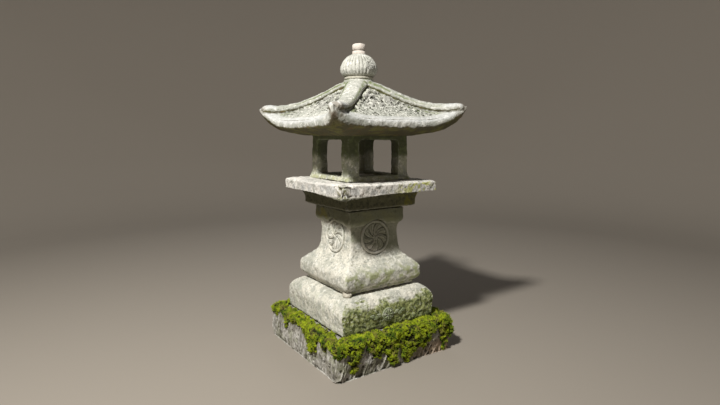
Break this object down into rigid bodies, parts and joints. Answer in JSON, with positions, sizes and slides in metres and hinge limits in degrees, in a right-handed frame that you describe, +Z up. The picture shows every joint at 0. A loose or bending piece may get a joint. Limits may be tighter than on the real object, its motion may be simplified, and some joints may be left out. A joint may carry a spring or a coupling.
{
  "type": "stone lantern",
  "caption": "Square garden lantern of stacked cast stones with an open light box, an upturned hipped roof and a round finial, on a rough mossy block.",
  "frame": {"origin": "on the ground, under the middle of the foundation block", "axes": "+Z up; -Y towards the front, the side with the round flower on the plinth; +X to the right as seen from the front"},
  "size_m": [0.5072, 0.5072, 1.02],
  "materials": {
    "cast_stone": "weathered cast stone, matt, with grey and green lichen",
    "rough_stone": "rough split stone, matt",
    "mortar": "matt, sandy",
    "moss": "matt, soft green tufts"
  },
  "bodies": {
    "base_stones": {"foundation_block": "rough_stone", "moss_front": "moss", "moss_left": "moss", "moss_back": "moss", "moss_right": "moss", "mortar_bed_lower": "mortar", "plinth": "cast_stone", "mortar_bed_upper": "mortar", "pedestal": "cast_stone"},
    "platform_stone": {"platform": "cast_stone"},
    "light_box_stone": {"light_box": "cast_stone"},
    "roof_stone": {"roof": "cast_stone"},
    "finial_stone": {"finial": "cast_stone"}
  },
  "joints": [
    {"name": "platform_lift", "type": "slide", "parent": "base_stones", "child": "platform_stone", "axis": [0, 0, 1], "range_m": [0, 0.06]},
    {"name": "light_box_lift", "type": "slide", "parent": "platform_stone", "child": "light_box_stone", "axis": [0, 0, 1], "range_m": [0, 0.06]},
    {"name": "roof_lift", "type": "slide", "parent": "light_box_stone", "child": "roof_stone", "axis": [0, 0, 1], "range_m": [0, 0.2]},
    {"name": "finial_lift", "type": "slide", "parent": "roof_stone", "child": "finial_stone", "axis": [0, 0, 1], "range_m": [0, 0.08]}
  ]
}
